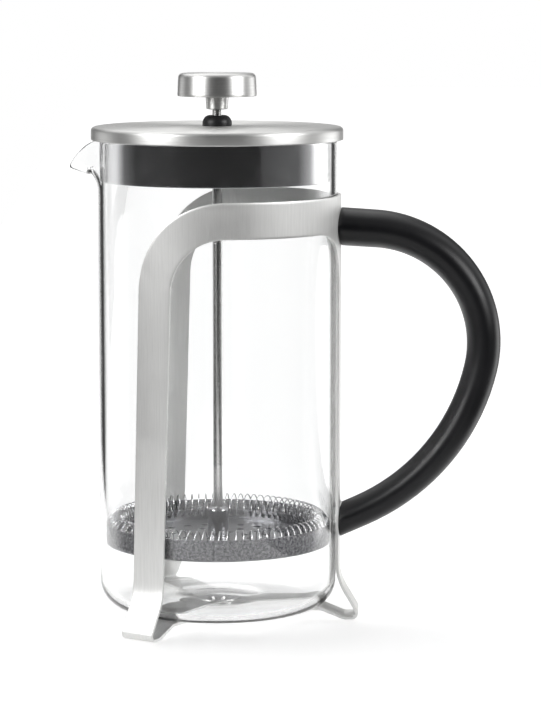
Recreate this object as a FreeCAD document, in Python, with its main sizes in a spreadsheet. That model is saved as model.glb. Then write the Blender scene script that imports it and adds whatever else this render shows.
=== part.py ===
import FreeCAD, Part
import math
import os
import re
import Sketcher

Vector = FreeCAD.Vector
Flat = FreeCAD.Base.Vector2d

# A french press: a glass beaker in a three-legged stand of strip steel with a
# plastic handle, a steel lid with a collar, and a plunger with a mesh filter.
# Millimetres. The origin is where the beaker's axis meets the table. +Z is up,
# the handle is at +X and the spout at -X.

SIZES = {
    # glass beaker
    "glass_radius": 48, "glass_wall": 2.2, "rim_height": 194.6, "glass_foot": 5.0,
    "glass_floor": 2.9, "punt_radius": 25, "punt_rise": 2.5, "glass_corner": 10.5,
    # spout: a trough of U sections, each as far out, as wide and as high as named here
    "spout_root_out": 44, "spout_root_half": 9.6, "spout_root_centre": 190.4,
    "spout_mid_out": 54, "spout_mid_half": 6.2, "spout_mid_centre": 187.0, "spout_mid_top": 190.6,
    "spout_tip_out": 59.6, "spout_tip_half": 2.4, "spout_tip_centre": 184.2, "spout_tip_top": 184.8,
    "spout_wall": 1.9, "spout_root_top": 194.4,
    # the channel that opens the spout, whose sections stand clear above the rim
    "channel_root_top": 203.6, "channel_mid_top": 202.6, "channel_tip_top": 201.6,
    "channel_tip_out": 60.6, "channel_tip_half": 1.2,
    # how far a cutting shape stands past the surface it cuts
    "cut_room": 1,
    # stand: one blank of strip steel, measured round its outer face
    "strip_radius": 49.7, "strip_thick": 1.2, "strip_wide": 14.2, "hoop_top": 172.2,
    "corner_round": 36.2, "corner_start": 71.6, "root_fillet": 20, "leg_slant": 1.8,
    "kick_height": 22.5, "kick_bend": 23, "kick_angle": 30, "fold_bend": 2.1,
    "pad_long": 2.4, "sole_angle": 22, "knee_bend": 4, "leg_spread": 120, "leg_overlap": 2,
    # base fixing under the glass
    "base_disc_radius": 16, "base_disc_thick": 1.2, "base_washer_radius": 8.8,
    "base_washer_thick": 0.7, "rivet_radius": 2.5, "rivet_head_radius": 4.2, "rivet_head_thick": 0.7,
    # handle
    "grip_start": 46, "grip_root_height": 159.7, "grip_fall": 3.5, "grip_straight": 18,
    "grip_top_bend": 46, "grip_top_turn": 99, "grip_low_bend": 84.5, "grip_low_turn": 53.4,
    "grip_tail": 12, "grip_gap": 0.05,
    "grip_thick_top": 15.2, "grip_wide_top": 21, "grip_thick_mid": 13.4, "grip_wide_mid": 19,
    "grip_thick_low": 12.6, "grip_wide_low": 17,
    # handle fixings, at the upper and the lower end
    "fix_high": 159.7, "fix_low": 41.2, "dimple_radius": 6.2, "dimple_rise": 2.2,
    "dimple_room": 4.9, "dimple_inset": 0.1, "screw_radius": 2, "screw_head_radius": 3.8,
    "screw_head_thick": 1.9, "screw_long": 10.5, "insert_radius": 3.1, "insert_long": 9.5,
    "recess_radius": 6.6,
    # lid
    "lid_radius": 50.5, "lid_top": 199.5, "lid_skirt": 194, "lid_thick": 0.8, "hem_thick": 0.7,
    "hem_wide": 2, "lid_round": 1.5, "collar_radius": 45.2, "collar_thick": 0.6,
    "collar_bottom": 177.6, "flange_radius": 49.6, "flange_thick": 0.8,
    # lid bush and its push-on ring
    "bush_dome_radius": 5.9, "bush_crown_radius": 3.9, "bush_dome_rise": 4.3,
    "bush_stem_radius": 4.05, "bush_stem_long": 4,
    "lid_hole_radius": 4.1, "rod_clearance": 0.05, "ring_radius": 7, "ring_thick": 0.8,
    # knob
    "knob_radius": 15.9, "knob_top": 220.6, "knob_bottom": 211.3, "knob_wall": 0.8,
    "knob_round": 2.2, "knob_plate": 1.5, "neck_radius": 4.5, "neck_bottom": 206.1,
    "knob_boss_top": 216.5,
    # plunger rod and filter stack
    "rod_radius": 2, "rod_bottom": 26, "rod_top": 214.5, "hub_radius": 4.15, "hub_top": 45,
    "hub_bottom": 33.2, "hub_flange_radius": 4.6, "hub_round": 1.6, "hub_groove_radius": 3.65,
    "hub_groove_wide": 0.4,
    "mesh_radius": 45.4, "mesh_thick": 0.3, "mesh_bottom": 31, "mesh_top": 39.8, "mesh_round": 1.6,
    "plate_bottom": 31.4, "plate_thick": 0.6, "plate_radius": 41.9, "plate_lip": 36.2,
    "coil_ring": 41.6, "coil_height": 37.4, "coil_radius": 3.2, "wire_radius": 0.28,
    "coil_turns": 87, "coil_hole_radius": 0.95,
    # three rings of drain holes in the plate: how far out, and how many
    "drain_radius": 1.6, "drain_ring_inner": 13, "drain_count_inner": 10, "drain_ring_middle": 21,
    "drain_count_middle": 16, "drain_ring_outer": 29, "drain_count_outer": 24,
    # cross plate and nut under the mesh
    "cross_radius": 37, "cross_thick": 0.8, "cross_window_radius": 8.6, "cross_window_ring": 20,
    "cross_windows": 6, "nut_across_flats": 7, "nut_thick": 3.2,
}

doc = FreeCAD.newDocument("french_press")
sheet = doc.addObject("Spreadsheet::Sheet", "Sizes")
for row, (alias, size) in enumerate(SIZES.items(), start=1):
    sheet.set("A%d" % row, alias)
    sheet.set("B%d" % row, str(size))
    sheet.setAlias("B%d" % row, alias)
doc.recompute()


def size(text):
    """The value of an expression whose words are names in the sheet."""
    return float(sheet.evalExpression(text))


def bind(thing, path, text):
    """Tie a property to an expression, with the sheet's name put before its sizes."""
    named = re.sub("[a-z_]+", lambda word: ("Sizes." if word[0] in SIZES else "") + word[0], text)
    thing.setExpression(path, named)


def body_of(name):
    body = doc.addObject("PartDesign::Body", name)
    body.Label = name
    return body


def origin_part(body, role):
    return next(item for item in body.Origin.OriginFeatures if item.Role == role)


def new_sketch(body, name, role, shift="0"):
    """A sketch on an origin plane, moved along the plane's normal by shift."""
    sketch = body.newObject("Sketcher::SketchObject", name)
    sketch.AttachmentSupport = (origin_part(body, role), [""])
    sketch.MapMode = "FlatFace"
    bind(sketch, "AttachmentOffset.Base.z", shift)
    return sketch


def fix(sketch, kind, piece, point, text):
    """A driving distance from the sketch's origin, tied to the sheet."""
    place = sketch.addConstraint(Sketcher.Constraint(kind, -1, 1, piece, point, size(text)))
    bind(sketch, "Constraints[%d]" % place, text)


def join_ends(sketch, first, count):
    for step in range(count):
        after = first + (step + 1) % count
        sketch.addConstraint(Sketcher.Constraint("Coincident", first + step, 2, after, 1))


def draw_outline(sketch, corners):
    """A closed outline of straight lines through corners given as pairs of expressions."""
    spots = [Vector(size(across), size(up), 0) for across, up in corners]
    first = sketch.GeometryCount
    for start, end in zip(spots, spots[1:] + spots[:1]):
        sketch.addGeometry(Part.LineSegment(start, end), False)
    join_ends(sketch, first, len(corners))
    for step, (across, up) in enumerate(corners):
        fix(sketch, "DistanceX", first + step, 1, across)
        fix(sketch, "DistanceY", first + step, 1, up)


def draw_circle(sketch, across, up, radius):
    centre = Vector(size(across), size(up), 0)
    piece = sketch.addGeometry(Part.Circle(centre, Vector(0, 0, 1), size(radius)), False)
    fix(sketch, "DistanceX", piece, 3, across)
    fix(sketch, "DistanceY", piece, 3, up)
    place = sketch.addConstraint(Sketcher.Constraint("Radius", piece, size(radius)))
    bind(sketch, "Constraints[%d]" % place, radius)


def turned(body, name, corners):
    """An outline in the XZ plane turned once round the Z axis."""
    sketch = new_sketch(body, name + "_outline", "XZ_Plane")
    draw_outline(sketch, corners)
    feature = body.newObject("PartDesign::Revolution", name)
    feature.Profile = sketch
    feature.ReferenceAxis = (sketch, ["V_Axis"])
    feature.Angle = 360
    return feature


def ring_outline(inner, outer, low, high):
    return [(inner, low), (outer, low), (outer, high), (inner, high)]


def turned_ring(name, inner, outer, low, high):
    body = body_of(name)
    turned(body, name + "_turn", ring_outline(inner, outer, low, high))
    return body


def round_circles(body, name, radius, places):
    """Round the circular edges that lie at the given radius and height."""
    doc.recompute()
    base = body.Tip
    near = 0.01
    wanted = [(size(across), size(up)) for across, up in places]
    found = []
    for number, edge in enumerate(base.Shape.Edges, start=1):
        if not isinstance(edge.Curve, Part.Circle):
            continue
        spot = edge.Curve.Center
        for across, up in wanted:
            if abs(edge.Curve.Radius - across) < near and abs(spot.z - up) < near:
                found.append("Edge%d" % number)
    feature = body.newObject("PartDesign::Fillet", name)
    feature.Base = (base, found)
    bind(feature, "Radius", radius)
    return feature


def cut_holes(body, name, ring, radius, low, depth, around):
    """A hole up through a plate from height low, repeated around the Z axis."""
    sketch = new_sketch(body, name + "_outline", "XY_Plane", low)
    draw_circle(sketch, ring, "0", radius)
    pocket = body.newObject("PartDesign::Pocket", name)
    pocket.Profile = sketch
    pocket.Reversed = True
    bind(pocket, "Length", depth)
    doc.recompute()
    pattern = body.newObject("PartDesign::PolarPattern", name + "_around")
    pattern.Originals = [pocket]
    pattern.Axis = (origin_part(body, "Z_Axis"), [""])
    pattern.Angle = 360
    bind(pattern, "Occurrences", around)
    body.Tip = pattern


def bar_along_x(name, radius, start, length, height):
    bar = doc.addObject("Part::Cylinder", name)
    bind(bar, "Radius", radius)
    bind(bar, "Height", length)
    bar.Placement = FreeCAD.Placement(Vector(), FreeCAD.Rotation(Vector(0, 1, 0), 90))
    bind(bar, "Placement.Base.x", start)
    bind(bar, "Placement.Base.z", height)
    return bar


def pair_along_x(name, radius, start, length):
    """The same bar at the handle's upper and lower fixings."""
    high = bar_along_x(name + "_high", radius, start, length, "fix_high")
    low = bar_along_x(name + "_low", radius, start, length, "fix_low")
    return [high, low]


def fused(name, shapes):
    fuse = doc.addObject("Part::MultiFuse", name)
    fuse.Shapes = shapes
    fuse.Label = name
    return fuse


def feature_of(name, shape):
    feature = doc.addObject("Part::Feature", name)
    feature.Shape = shape
    feature.Label = name
    feature.Placement = FreeCAD.Placement()
    return feature


# ---- glass beaker -------------------------------------------------------------

def trough_section(body, name, out, half, centre, top):
    """A U section of the spout across the X axis: half a circle below straight sides."""
    sketch = new_sketch(body, name, "YZ_Plane", "-(%s)" % out)
    middle, reach, height = size(centre), size(half), size(top)
    arc = Part.Circle(Vector(0, middle, 0), Vector(0, 0, 1), reach)
    sketch.addGeometry(Part.ArcOfCircle(arc, math.pi, 2 * math.pi), False)
    ends = [Vector(reach, middle, 0), Vector(reach, height, 0), Vector(-reach, height, 0)]
    for start, end in zip(ends, ends[1:] + [Vector(-reach, middle, 0)]):
        sketch.addGeometry(Part.LineSegment(start, end), False)
    join_ends(sketch, 0, 4)
    fix(sketch, "DistanceX", 0, 3, "0")
    fix(sketch, "DistanceY", 0, 3, centre)
    fix(sketch, "DistanceX", 0, 1, "-(%s)" % half)
    for piece, across in ((2, half), (3, "-(%s)" % half)):
        fix(sketch, "DistanceX", piece, 1, across)
        fix(sketch, "DistanceY", piece, 1, top)
    sketch.addConstraint(Sketcher.Constraint("Horizontal", 0, 1, 0, 3))
    sketch.addConstraint(Sketcher.Constraint("Horizontal", 0, 2, 0, 3))
    return sketch


def add_trough(body, name, sections):
    sketches = [trough_section(body, "%s_%d" % (name, number), *section)
                for number, section in enumerate(sections, start=1)]
    loft = body.newObject("PartDesign::AdditiveLoft", name)
    loft.Profile = sketches[0]
    loft.Sections = sketches[1:]
    loft.Ruled = False


def make_beaker():
    """The glass is its outside less its inside, both turned, with a trough added for the spout."""
    outside = body_of("glass_outside")
    turned(outside, "outside_turn", [
        ("0", "glass_foot + punt_rise"), ("punt_radius", "glass_foot"),
        ("glass_radius", "glass_foot"), ("glass_radius", "rim_height"), ("0", "rim_height")])
    round_circles(outside, "outer_corner", "glass_corner", [("glass_radius", "glass_foot")])
    add_trough(outside, "spout_outside", [
        ("spout_root_out", "spout_root_half", "spout_root_centre", "spout_root_top"),
        ("spout_mid_out", "spout_mid_half", "spout_mid_centre", "spout_mid_top"),
        ("spout_tip_out", "spout_tip_half", "spout_tip_centre", "spout_tip_top")])
    inside = body_of("glass_inside")
    bore = "glass_radius - glass_wall"
    floor = "glass_foot + glass_floor"
    turned(inside, "inside_turn", [
        ("0", floor + " + punt_rise"), ("punt_radius", floor), (bore, floor),
        (bore, "rim_height + cut_room"), ("0", "rim_height + cut_room")])
    round_circles(inside, "inner_corner", "glass_corner - glass_wall", [(bore, floor)])
    add_trough(inside, "spout_channel", [
        ("spout_root_out", "spout_root_half - spout_wall", "spout_root_centre", "channel_root_top"),
        ("spout_mid_out", "spout_mid_half - spout_wall", "spout_mid_centre", "channel_mid_top"),
        ("channel_tip_out", "channel_tip_half", "spout_tip_centre", "channel_tip_top")])
    beaker = doc.addObject("Part::Cut", "beaker")
    beaker.Base = outside
    beaker.Tool = inside
    beaker.Label = "beaker"


# ---- stand --------------------------------------------------------------------

def wrapped(outline, radius):
    """Edges on a cylinder from an unrolled outline of lines and arcs.

    The outline is measured in millimetres round the strip's outer face, from
    the handle. The cylinder's seam is turned to the spout side, where the hoop is open.
    """
    scale = 1 / size("strip_radius")
    surface = Part.Cylinder()
    surface.Radius = radius
    surface.rotate(FreeCAD.Placement(Vector(), FreeCAD.Rotation(Vector(0, 0, 1), 180)))

    def place(spot):
        return Flat(spot[0] * scale + math.pi, spot[1])

    edges = []
    for piece in outline:
        if piece[0] == "line":
            curve = Part.Geom2d.Line2dSegment(place(piece[1]), place(piece[2]))
        else:
            centre, bend, low, high = piece[1:]
            up = place((centre[0], centre[1] + bend))
            side = place((centre[0] - bend, centre[1]))
            ellipse = Part.Geom2d.Ellipse2d(up, side, place(centre))
            curve = Part.Geom2d.ArcOfEllipse2d(ellipse, math.radians(low - 90), math.radians(high - 90))
        edges.append(curve.toShape(surface))
    return surface, edges


def blank_outline():
    """The stand's blank: a hoop that turns down into two legs, and a third under the handle."""
    wide = size("strip_wide")
    top = size("hoop_top")
    under = top - wide
    big = size("corner_round")
    small = big - wide
    start = size("corner_start")
    pivot_up = top - big
    slant = size("leg_slant")
    foot = size("kick_height")
    lean = math.radians(slant)
    half = wide / 2
    fillet = size("root_fillet")

    def on_arc(side, bend, degrees):
        angle = math.radians(degrees)
        return (side * (start + bend * math.cos(angle)), pivot_up + bend * math.sin(angle))

    def leg_end(side, bend):
        knee = on_arc(side, bend, slant)
        drop = knee[1] - foot
        return (knee[0] + side * drop * math.tan(lean), foot)

    def arc(side, centre, bend, low, high):
        if side < 0:
            low, high = 180 - high, 180 - low
        return ("arc", centre, bend, low, high)

    pieces = [("line", (-start, top), (start, top))]
    for side in (1, -1):
        centre = (side * start, pivot_up)
        pieces += [
            arc(side, centre, big, slant, 90),
            ("line", on_arc(side, big, slant), leg_end(side, big)),
            ("line", leg_end(side, big), leg_end(side, small)),
            ("line", leg_end(side, small), on_arc(side, small, slant)),
            arc(side, centre, small, slant, 90),
            ("line", (side * start, under), (side * (half + fillet), under)),
            arc(-side, (side * (half + fillet), under - fillet), fillet, 0, 90),
            ("line", (side * half, under - fillet), (side * half, foot))]
    pieces.append(("line", (-half, foot), (half, foot)))
    return pieces


def make_curved_blank():
    outer = size("strip_radius")
    inner = outer - size("strip_thick")
    outline = blank_outline()
    faces = []
    rims = []
    for radius in (outer, inner):
        surface, edges = wrapped(outline, radius)
        rims.append(edges)
        wire = Part.Wire(Part.__sortEdges__(edges))
        face = Part.Face(surface, wire)
        face.validate()
        faces.append(face)
    for one, other in zip(*rims):
        faces.append(Part.makeRuledSurface(one, other))
    shell = Part.makeShell(faces)
    shell.sewShape()
    solid = Part.makeSolid(Part.Shell(shell.Faces))
    if solid.Volume < 0:
        solid.reverse()
    return solid


def strip_path():
    """The middle line of one leg below the kick, as points in its own XZ plane.

    It kicks out, folds under to a flat pad on the table, rises along the sole
    and bends at the knee to lie flat under the glass.
    """
    thick = size("strip_thick")
    middle = size("strip_radius") - thick / 2
    kick = math.radians(size("kick_angle"))
    sole = math.radians(size("sole_angle"))
    bend = size("kick_bend")
    fold = size("fold_bend")
    knee = size("knee_bend")
    flat_up = size("glass_foot") - thick / 2
    kick_end = Vector(middle + bend * (1 - math.cos(kick)), 0,
                      size("kick_height") - bend * math.sin(kick))
    # the fold's centre is where the straight kick, run on, is tangent to it
    drop = kick_end.z - thick / 2 - fold - fold * math.sin(kick)
    fold_mid = Vector(kick_end.x + drop * math.tan(kick) - fold * math.cos(kick), 0,
                      fold + thick / 2)
    fold_in = fold_mid + Vector(fold * math.cos(kick), 0, fold * math.sin(kick))
    pad_start = Vector(fold_mid.x, 0, thick / 2)
    pad_end = pad_start - Vector(size("pad_long"), 0, 0)
    heel = pad_end + Vector(-knee * math.sin(sole), 0, knee * (1 - math.cos(sole)))
    rise = flat_up - heel.z - knee * (1 - math.cos(sole))
    knee_in = heel + Vector(-rise / math.tan(sole), 0, rise)
    knee_out = Vector(knee_in.x - knee * math.sin(sole), 0, flat_up)
    return kick_end, fold_mid, fold_in, pad_start, pad_end, heel, knee_in, knee_out


def bent_plate(centre, start, end, thick, wide):
    """A strip bent round one arc of its middle line, less than half a turn."""
    spots = (start, arc_middle(centre, start, end), end)
    grow = thick / 2 / (start - centre).Length
    out = [spot + (spot - centre) * grow for spot in spots]
    back = [spot - (spot - centre) * grow for spot in reversed(spots)]
    wire = Part.Wire([Part.Arc(*out).toShape(), Part.makeLine(out[2], back[0]),
                      Part.Arc(*back).toShape(), Part.makeLine(back[2], out[0])])
    return flat_strip(wire, wide)


def straight_plate(start, end, thick, wide):
    along = (end - start).normalize()
    side = Vector(-along.z, 0, along.x) * (thick / 2)
    corners = [start + side, end + side, end - side, start - side]
    return flat_strip(Part.makePolygon(corners + corners[:1]), wide)


def flat_strip(wire, wide):
    side = Part.Face(wire).extrude(Vector(0, wide, 0))
    side.translate(Vector(0, -wide / 2, 0))
    return side


def arc_middle(centre, start, end):
    between = (start - centre) + (end - centre)
    return centre + between.normalize() * (start - centre).Length


def make_foot():
    """A foot: kicked out, folded on the table, and run back under the glass to a mitred point."""
    thick = size("strip_thick")
    wide = size("strip_wide")
    kick_end, fold_mid, fold_in, pad_start, pad_end, heel, knee_in, knee_out = strip_path()
    top = Vector(size("strip_radius") - thick / 2, 0, size("kick_height"))
    kick_centre = Vector(top.x + size("kick_bend"), 0, top.z)
    heel_centre = pad_end + Vector(0, 0, size("knee_bend"))
    knee_centre = knee_out - Vector(0, 0, size("knee_bend"))
    overlap = Vector(0, 0, size("leg_overlap"))
    pieces = [
        straight_plate(top + overlap, top, thick, wide),
        bent_plate(kick_centre, top, kick_end, thick, wide),
        straight_plate(kick_end, fold_in, thick, wide),
        bent_plate(fold_mid, fold_in, pad_start, thick, wide),
        straight_plate(pad_start, pad_end, thick, wide),
        bent_plate(heel_centre, pad_end, heel, thick, wide),
        straight_plate(heel, knee_in, thick, wide),
        bent_plate(knee_centre, knee_in, knee_out, thick, wide),
        straight_plate(knee_out, Vector(0, 0, knee_out.z), thick, wide)]
    foot = pieces[0].fuse(pieces[1:]).removeSplitter()
    # each foot fills a third of the circle at the centre, so the three meet in mitres
    far = 2 * size("strip_radius")
    third = math.radians(60)
    corners = [Vector(), Vector(far * math.cos(third), -far * math.sin(third), 0),
               Vector(far, 0, 0), Vector(far * math.cos(third), far * math.sin(third), 0)]
    wedge = Part.Face(Part.makePolygon(corners + corners[:1])).extrude(Vector(0, 0, far))
    return foot.common(wedge)


def make_stand():
    stand = make_curved_blank()
    upright = Vector(0, 0, 1)
    foot = make_foot()
    for turn in (0, 1, -1):
        one = foot.copy()
        one.rotate(Vector(), upright, turn * size("leg_spread"))
        stand = stand.fuse(one)
    along = Vector(1, 0, 0)
    inner = size("strip_radius - strip_thick")
    floor = inner + size("dimple_rise")
    start = inner + size("dimple_inset")
    for height in (size("fix_high"), size("fix_low")):
        boss = Part.makeCylinder(size("dimple_radius"), floor + size("strip_thick") - start,
                                 Vector(start, 0, height), along)
        room = Part.makeCylinder(size("dimple_room"), floor - size("glass_radius"),
                                 Vector(size("glass_radius"), 0, height), along)
        hole = Part.makeCylinder(size("screw_radius"), floor, Vector(inner, 0, height), along)
        stand = stand.fuse(boss).cut(room).cut(hole)
    rivet = Part.makeCylinder(size("rivet_radius"), size("glass_foot") * 2)
    return feature_of("stand_strip", stand.cut(rivet).removeSplitter())


def make_base_fixing():
    strip_under = "glass_foot - strip_thick"
    washer_top = "glass_foot + base_washer_thick"
    turned_ring("base_disc", "rivet_radius", "base_disc_radius",
                strip_under + " - base_disc_thick", strip_under)
    turned_ring("base_washer", "rivet_radius", "base_washer_radius", "glass_foot", washer_top)
    body = body_of("base_rivet")
    low = strip_under + " - base_disc_thick"
    turned(body, "rivet_turn", [
        ("0", low + " - rivet_head_thick"), ("rivet_head_radius", low + " - rivet_head_thick"),
        ("rivet_head_radius", low), ("rivet_radius", low), ("rivet_radius", washer_top),
        ("rivet_head_radius", washer_top), ("rivet_head_radius", washer_top + " + rivet_head_thick"),
        ("0", washer_top + " + rivet_head_thick")])


# ---- handle -------------------------------------------------------------------

def grip_path():
    """The handle's middle line in the XZ plane: a straight, two arcs and a straight."""
    spot = Vector(size("grip_start"), 0, size("grip_root_height"))
    heading = -math.radians(size("grip_fall"))
    edges = []
    stations = [(spot, heading)]

    def straight(length):
        nonlocal spot
        end = spot + Vector(math.cos(heading), 0, math.sin(heading)) * length
        edges.append(Part.makeLine(spot, end))
        spot = end
        stations.append((spot, heading))

    def curve(bend, degrees):
        nonlocal spot, heading
        turn = math.radians(degrees)
        centre = spot + Vector(math.sin(heading), 0, -math.cos(heading)) * bend

        def at(angle):
            return centre + Vector(-math.sin(angle), 0, math.cos(angle)) * bend

        edges.append(Part.Arc(spot, at(heading - turn / 2), at(heading - turn)).toShape())
        heading -= turn
        spot = at(heading)
        stations.append((spot, heading))

    straight(size("grip_straight"))
    curve(size("grip_top_bend"), size("grip_top_turn"))
    curve(size("grip_low_bend"), size("grip_low_turn"))
    straight(size("grip_tail"))
    return Part.Wire(edges), stations


def oval(spot, heading, thick, wide):
    """An upright oval across the handle's middle line."""
    across = Vector(-math.sin(heading), 0, math.cos(heading))
    sideways = Vector(0, 1, 0)
    big, small = spot + sideways * (wide / 2), spot + across * (thick / 2)
    return Part.Wire(Part.Ellipse(big, small, spot).toShape())


def make_handle():
    path, stations = grip_path()
    sweep = Part.BRepOffsetAPI.MakePipeShell(path)
    sweep.setBiNormalMode(Vector(0, 1, 0))
    for number, end in ((0, "top"), (2, "mid"), (4, "low")):
        spot, heading = stations[number]
        sweep.add(oval(spot, heading, size("grip_thick_" + end), size("grip_wide_" + end)))
    sweep.build()
    sweep.makeSolid()
    grip = sweep.shape()
    seat = size("strip_radius + grip_gap")
    tall = size("hoop_top")
    grip = grip.cut(Part.makeCylinder(seat, tall))
    along = Vector(1, 0, 0)
    dimple_top = size("strip_radius + dimple_rise + grip_gap")
    for height in (size("fix_high"), size("fix_low")):
        spot = Vector(0, 0, height)
        grip = grip.cut(Part.makeCylinder(size("recess_radius"), dimple_top, spot, along))
        bore = dimple_top + size("insert_long")
        grip = grip.cut(Part.makeCylinder(size("insert_radius"), bore, spot, along))
    return feature_of("handle", grip)


def make_handle_fixings():
    floor = "strip_radius - strip_thick + dimple_rise"
    heads = pair_along_x("screw_head", "screw_head_radius", floor + " - screw_head_thick",
                         "screw_head_thick")
    shanks = pair_along_x("screw_shank", "screw_radius", floor, "screw_long")
    fused("handle_screws", heads + shanks)
    start = "strip_radius + dimple_rise + grip_gap"
    shells = fused("insert_shells", pair_along_x("insert_shell", "insert_radius", start, "insert_long"))
    holes = fused("insert_holes", pair_along_x("insert_hole", "screw_radius", start, "insert_long"))
    inserts = doc.addObject("Part::Cut", "handle_inserts")
    inserts.Base = shells
    inserts.Tool = holes
    inserts.Label = "handle_inserts"


# ---- lid ----------------------------------------------------------------------

def make_lid():
    cap = body_of("lid_cap")
    skin = "lid_radius - lid_thick"
    roof = "lid_top - lid_thick"
    hem = "lid_skirt + hem_thick"
    turned(cap, "lid_cap_turn", [
        ("lid_hole_radius", roof), (skin, roof), (skin, hem), ("lid_radius - hem_wide", hem),
        ("lid_radius - hem_wide", "lid_skirt"), ("lid_radius", "lid_skirt"),
        ("lid_radius", "lid_top"), ("lid_hole_radius", "lid_top")])
    round_circles(cap, "lid_edge", "lid_round", [("lid_radius", "lid_top")])
    collar = body_of("lid_collar")
    bore = "collar_radius - collar_thick"
    shelf = hem + " + flange_thick"
    turned(collar, "lid_collar_turn", [
        (bore, "collar_bottom"), ("collar_radius", "collar_bottom"), ("collar_radius", hem),
        ("flange_radius", hem), ("flange_radius", shelf), (bore, shelf)])


def make_bush():
    bush = body_of("lid_bush")
    bore = "rod_radius + rod_clearance"
    seat = "lid_top + rod_clearance"
    turned(bush, "lid_bush_turn", [
        (bore, "lid_top - bush_stem_long"), ("bush_stem_radius", "lid_top - bush_stem_long"),
        ("bush_stem_radius", seat), ("bush_dome_radius", seat),
        ("bush_dome_radius", "lid_top + bush_dome_rise / 2"),
        ("bush_crown_radius", "lid_top + bush_dome_rise"), (bore, "lid_top + bush_dome_rise")])
    top = "lid_top - lid_thick - rod_clearance"
    turned_ring("bush_ring", "bush_stem_radius", "ring_radius", top + " - ring_thick", top)


# ---- plunger ------------------------------------------------------------------

def make_knob():
    cap = body_of("knob_cap")
    inner = "knob_radius - knob_wall"
    turned(cap, "knob_cap_turn", [
        ("0", "knob_top - knob_wall"), (inner, "knob_top - knob_wall"), (inner, "knob_bottom"),
        ("knob_radius", "knob_bottom"), ("knob_radius", "knob_top"), ("0", "knob_top")])
    round_circles(cap, "knob_edge", "knob_round", [("knob_radius", "knob_top")])
    base = body_of("knob_base")
    plate = "knob_bottom + knob_plate"
    turned(base, "knob_base_turn", [
        ("rod_radius", "neck_bottom"), ("neck_radius", "neck_bottom"), ("neck_radius", "knob_bottom"),
        (inner, "knob_bottom"), (inner, plate), ("neck_radius", plate),
        ("neck_radius", "knob_boss_top"), ("0", "knob_boss_top"), ("0", "rod_top"),
        ("rod_radius", "rod_top")])


def make_rod():
    rod = doc.addObject("Part::Cylinder", "plunger_rod")
    bind(rod, "Radius", "rod_radius")
    bind(rod, "Height", "rod_top - rod_bottom")
    bind(rod, "Placement.Base.z", "rod_bottom")
    rod.Label = "plunger_rod"


def make_hub():
    hub = body_of("hub_sleeve")
    low = "plate_bottom + plate_thick"
    groove = "hub_bottom - hub_groove_wide"
    turned(hub, "hub_turn", [
        ("rod_radius", low), ("hub_flange_radius", low), ("hub_flange_radius", groove),
        ("hub_groove_radius", groove), ("hub_groove_radius", "hub_bottom"),
        ("hub_radius", "hub_bottom"), ("hub_radius", "hub_top"), ("rod_radius", "hub_top")])
    round_circles(hub, "hub_shoulder", "hub_round", [("hub_radius", "hub_top")])


def drills_around(radius, depth, ring, count, start, heading):
    """Drills of one size round the Z axis; start and heading are the first one's."""
    first = Part.makeCylinder(radius, depth, Vector(ring, 0, start), heading)
    drills = []
    for number in range(count):
        drill = first.copy()
        drill.rotate(Vector(), Vector(0, 0, 1), number * 360 / count)
        drills.append(drill)
    return drills


def make_spiral_plate():
    blank = body_of("plate_blank")
    top = "plate_bottom + plate_thick"
    turned(blank, "plate_turn", [
        ("rod_radius", "plate_bottom"), ("plate_radius", "plate_bottom"),
        ("plate_radius", "plate_lip"), ("plate_radius - plate_thick", "plate_lip"),
        ("plate_radius - plate_thick", top), ("rod_radius", top)])
    drill_long = size("plate_thick") * 3
    drills = []
    for place in ("inner", "middle", "outer"):
        drills += drills_around(size("drain_radius"), drill_long, size("drain_ring_" + place),
                                int(size("drain_count_" + place)),
                                size("plate_bottom - plate_thick"), Vector(0, 0, 1))
    drills += drills_around(size("coil_hole_radius"), drill_long,
                            size("plate_radius - 2 * plate_thick"), int(size("coil_turns")),
                            size("coil_height - coil_radius"), Vector(1, 0, 0))
    plate = doc.addObject("Part::Cut", "spiral_plate")
    plate.Base = blank
    plate.Tool = feature_of("plate_drills", Part.makeCompound(drills))
    plate.Label = "spiral_plate"


def make_spring():
    """The edge spring: semicircles of wire, out at the mesh and in over the plate, end to end."""
    turns = int(size("coil_turns"))
    ring = size("coil_ring")
    coil = size("coil_radius")
    middle = size("coil_height")
    step = 2 * math.pi / turns
    edges = []

    def at(angle, out, up):
        return Vector((ring + out) * math.cos(angle), (ring + out) * math.sin(angle), middle + up)

    # the holes in the plate's lip are at whole steps, and the ends are a turn apart
    for number in range(turns - 1):
        angle = number * step
        low, high, after = at(angle, 0, -coil), at(angle + step / 2, 0, coil), at(angle + step, 0, -coil)
        edges.append(Part.Arc(low, at(angle + step / 4, coil, 0), high).toShape())
        edges.append(Part.Arc(high, at(angle + step * 3 / 4, -coil, 0), after).toShape())
    start = edges[0]
    heading = start.tangentAt(start.FirstParameter)
    section = Part.Circle(start.valueAt(start.FirstParameter), heading, size("wire_radius"))
    tube = Part.Wire(edges).makePipeShell([Part.Wire(section.toShape())], True, False)
    return feature_of("filter_spring", tube)


def make_mesh():
    mesh = body_of("mesh_screen")
    wall = "mesh_radius - mesh_thick"
    top = "mesh_bottom + mesh_thick"
    turned(mesh, "mesh_turn", [
        ("rod_radius", "mesh_bottom"), ("mesh_radius", "mesh_bottom"), ("mesh_radius", "mesh_top"),
        (wall, "mesh_top"), (wall, top), ("rod_radius", top)])
    round_circles(mesh, "mesh_corner", "mesh_round", [("mesh_radius", "mesh_bottom")])
    round_circles(mesh, "mesh_inner_corner", "mesh_round - mesh_thick", [(wall, top)])


def make_cross_plate():
    low = "mesh_bottom - cross_thick"
    plate = turned_ring("cross_plate", "rod_radius", "cross_radius", low, "mesh_bottom")
    cut_holes(plate, "window", "cross_window_ring", "cross_window_radius",
              low + " - cut_room", "cross_thick + 2 * cut_room", "cross_windows")


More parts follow.
